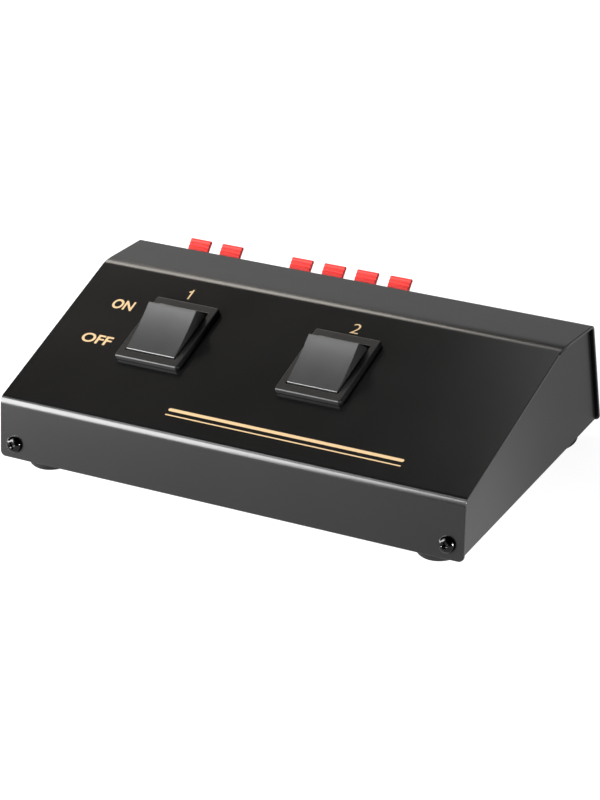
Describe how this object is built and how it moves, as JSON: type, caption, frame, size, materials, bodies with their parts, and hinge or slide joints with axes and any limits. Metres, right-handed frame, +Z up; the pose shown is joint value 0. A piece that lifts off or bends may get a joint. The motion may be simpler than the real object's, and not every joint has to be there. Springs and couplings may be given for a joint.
{
  "type": "speaker selector switch",
  "caption": "Low folded-steel desk box with rocker switches on a sloping panel and spring-lever wire terminals at the rear.",
  "frame": {"origin": "on the desk, under the middle of the object's box", "axes": "+X to the right along the front lip, +Y to the rear wall with the wire terminals, +Z up"},
  "size_m": [0.18, 0.1062, 0.0449],
  "materials": {
    "case_paint": "dark grey satin powder coat",
    "tray_paint": "dark grey satin powder coat",
    "screw_black": "black oxide, semi-gloss",
    "zinc_steel": "zinc plated",
    "foot_rubber": "matt",
    "switch_plastic": "moulded, semi-gloss",
    "rocker_plastic": "moulded, fine spark texture",
    "plunger_plastic": "moulded",
    "spring_steel": "bright drawn wire",
    "brass": "rolled strip",
    "leaf_bronze": "rolled strip",
    "terminal_plastic": "moulded, semi-matt",
    "lever_red": "moulded",
    "lever_black": "moulded",
    "wire_red": "PVC sleeve",
    "wire_black": "PVC sleeve"
  },
  "bodies": {
    "case": {"top_cover": "case_paint", "base_tray": "tray_paint", "front_case_screws": "screw_black", "rear_case_screws": "screw_black", "foot_front_left": "foot_rubber", "foot_front_right": "foot_rubber", "foot_rear_left": "foot_rubber", "foot_rear_right": "foot_rubber", "foot_screws": "zinc_steel", "switch_1_housing": "switch_plastic", "switch_1_tabs": "brass", "switch_2_housing": "switch_plastic", "switch_2_tabs": "brass", "input_terminal_body": "terminal_plastic", "output_terminal_body": "terminal_plastic", "terminal_screws": "zinc_steel", "terminal_nuts": "zinc_steel", "feed_wires": "wire_red", "link_wires": "wire_red", "output_wires": "wire_red", "return_wires": "wire_black", "input_leaf_1_red": "leaf_bronze", "input_leaf_1_black": "leaf_bronze", "input_leaf_2_red": "leaf_bronze", "input_leaf_2_black": "leaf_bronze", "output_leaf_1_red": "leaf_bronze", "output_leaf_1_black": "leaf_bronze", "output_leaf_2_red": "leaf_bronze", "output_leaf_2_black": "leaf_bronze", "output_leaf_3_red": "leaf_bronze", "output_leaf_3_black": "leaf_bronze", "output_leaf_4_red": "leaf_bronze", "output_leaf_4_black": "leaf_bronze"},
    "switch_1_rocker": {"switch_1_rocker": "rocker_plastic", "switch_1_plunger_left": "plunger_plastic", "switch_1_plunger_right": "plunger_plastic", "switch_1_spring_left": "spring_steel", "switch_1_spring_right": "spring_steel"},
    "switch_1_blades": {"switch_1_blade_left": "brass", "switch_1_blade_right": "brass"},
    "switch_2_rocker": {"switch_2_rocker": "rocker_plastic", "switch_2_plunger_left": "plunger_plastic", "switch_2_plunger_right": "plunger_plastic", "switch_2_spring_left": "spring_steel", "switch_2_spring_right": "spring_steel"},
    "switch_2_blades": {"switch_2_blade_left": "brass", "switch_2_blade_right": "brass"},
    "input_lever_1_red": {"input_lever_1_red": "lever_red"},
    "input_lever_1_black": {"input_lever_1_black": "lever_black"},
    "input_lever_2_red": {"input_lever_2_red": "lever_red"},
    "input_lever_2_black": {"input_lever_2_black": "lever_black"},
    "output_lever_1_red": {"output_lever_1_red": "lever_red"},
    "output_lever_1_black": {"output_lever_1_black": "lever_black"},
    "output_lever_2_red": {"output_lever_2_red": "lever_red"},
    "output_lever_2_black": {"output_lever_2_black": "lever_black"},
    "output_lever_3_red": {"output_lever_3_red": "lever_red"},
    "output_lever_3_black": {"output_lever_3_black": "lever_black"},
    "output_lever_4_red": {"output_lever_4_red": "lever_red"},
    "output_lever_4_black": {"output_lever_4_black": "lever_black"}
  },
  "joints": [
    {"name": "switch_1_rock", "type": "hinge", "parent": "case", "child": "switch_1_rocker", "pos_m": [-0.0468, -0.00505, 0.03308], "axis": [-1, 0, 0], "range_deg": [0, 32]},
    {"name": "switch_1_contact", "type": "hinge", "parent": "case", "child": "switch_1_blades", "pos_m": [-0.0468, -0.0024, 0.02324], "axis": [-1, 0, 0], "range_deg": [-16, 0]},
    {"name": "switch_2_rock", "type": "hinge", "parent": "case", "child": "switch_2_rocker", "pos_m": [0.017, -0.00505, 0.03308], "axis": [-1, 0, 0], "range_deg": [0, 32]},
    {"name": "switch_2_contact", "type": "hinge", "parent": "case", "child": "switch_2_blades", "pos_m": [0.017, -0.0024, 0.02324], "axis": [-1, 0, 0], "range_deg": [-16, 0]},
    {"name": "input_press_1_red", "type": "hinge", "parent": "case", "child": "input_lever_1_red", "pos_m": [-0.0702, 0.04331, 0.0321], "axis": [-1, 0, 0], "range_deg": [0, 28], "stiffness_Nm_per_rad": 0.01, "springref_deg": -11.46, "deforming": ["input_leaf_1_red"]},
    {"name": "input_press_1_black", "type": "hinge", "parent": "case", "child": "input_lever_1_black", "pos_m": [-0.0702, 0.04331, 0.0145], "axis": [1, 0, 0], "range_deg": [0, 28], "stiffness_Nm_per_rad": 0.01, "springref_deg": -11.46, "deforming": ["input_leaf_1_black"]},
    {"name": "input_press_2_red", "type": "hinge", "parent": "case", "child": "input_lever_2_red", "pos_m": [-0.057, 0.04331, 0.0321], "axis": [-1, 0, 0], "range_deg": [0, 28], "stiffness_Nm_per_rad": 0.01, "springref_deg": -11.46, "deforming": ["input_leaf_2_red"]},
    {"name": "input_press_2_black", "type": "hinge", "parent": "case", "child": "input_lever_2_black", "pos_m": [-0.057, 0.04331, 0.0145], "axis": [1, 0, 0], "range_deg": [0, 28], "stiffness_Nm_per_rad": 0.01, "springref_deg": -11.46, "deforming": ["input_leaf_2_black"]},
    {"name": "output_press_1_red", "type": "hinge", "parent": "case", "child": "output_lever_1_red", "pos_m": [-0.028, 0.04331, 0.0321], "axis": [-1, 0, 0], "range_deg": [0, 28], "stiffness_Nm_per_rad": 0.01, "springref_deg": -11.46, "deforming": ["output_leaf_1_red"]},
    {"name": "output_press_1_black", "type": "hinge", "parent": "case", "child": "output_lever_1_black", "pos_m": [-0.028, 0.04331, 0.0145], "axis": [1, 0, 0], "range_deg": [0, 28], "stiffness_Nm_per_rad": 0.01, "springref_deg": -11.46, "deforming": ["output_leaf_1_black"]},
    {"name": "output_press_2_red", "type": "hinge", "parent": "case", "child": "output_lever_2_red", "pos_m": [-0.0148, 0.04331, 0.0321], "axis": [-1, 0, 0], "range_deg": [0, 28], "stiffness_Nm_per_rad": 0.01, "springref_deg": -11.46, "deforming": ["output_leaf_2_red"]},
    {"name": "output_press_2_black", "type": "hinge", "parent": "case", "child": "output_lever_2_black", "pos_m": [-0.0148, 0.04331, 0.0145], "axis": [1, 0, 0], "range_deg": [0, 28], "stiffness_Nm_per_rad": 0.01, "springref_deg": -11.46, "deforming": ["output_leaf_2_black"]},
    {"name": "output_press_3_red", "type": "hinge", "parent": "case", "child": "output_lever_3_red", "pos_m": [-0.0016, 0.04331, 0.0321], "axis": [-1, 0, 0], "range_deg": [0, 28], "stiffness_Nm_per_rad": 0.01, "springref_deg": -11.46, "deforming": ["output_leaf_3_red"]},
    {"name": "output_press_3_black", "type": "hinge", "parent": "case", "child": "output_lever_3_black", "pos_m": [-0.0016, 0.04331, 0.0145], "axis": [1, 0, 0], "range_deg": [0, 28], "stiffness_Nm_per_rad": 0.01, "springref_deg": -11.46, "deforming": ["output_leaf_3_black"]},
    {"name": "output_press_4_red", "type": "hinge", "parent": "case", "child": "output_lever_4_red", "pos_m": [0.0116, 0.04331, 0.0321], "axis": [-1, 0, 0], "range_deg": [0, 28], "stiffness_Nm_per_rad": 0.01, "springref_deg": -11.46, "deforming": ["output_leaf_4_red"]},
    {"name": "output_press_4_black", "type": "hinge", "parent": "case", "child": "output_lever_4_black", "pos_m": [0.0116, 0.04331, 0.0145], "axis": [1, 0, 0], "range_deg": [0, 28], "stiffness_Nm_per_rad": 0.01, "springref_deg": -11.46, "deforming": ["output_leaf_4_black"]}
  ],
  "couplings": [
    {"joint": "switch_1_contact", "follows": "switch_1_rock", "ratio": -0.5},
    {"joint": "switch_2_contact", "follows": "switch_2_rock", "ratio": -0.5}
  ]
}
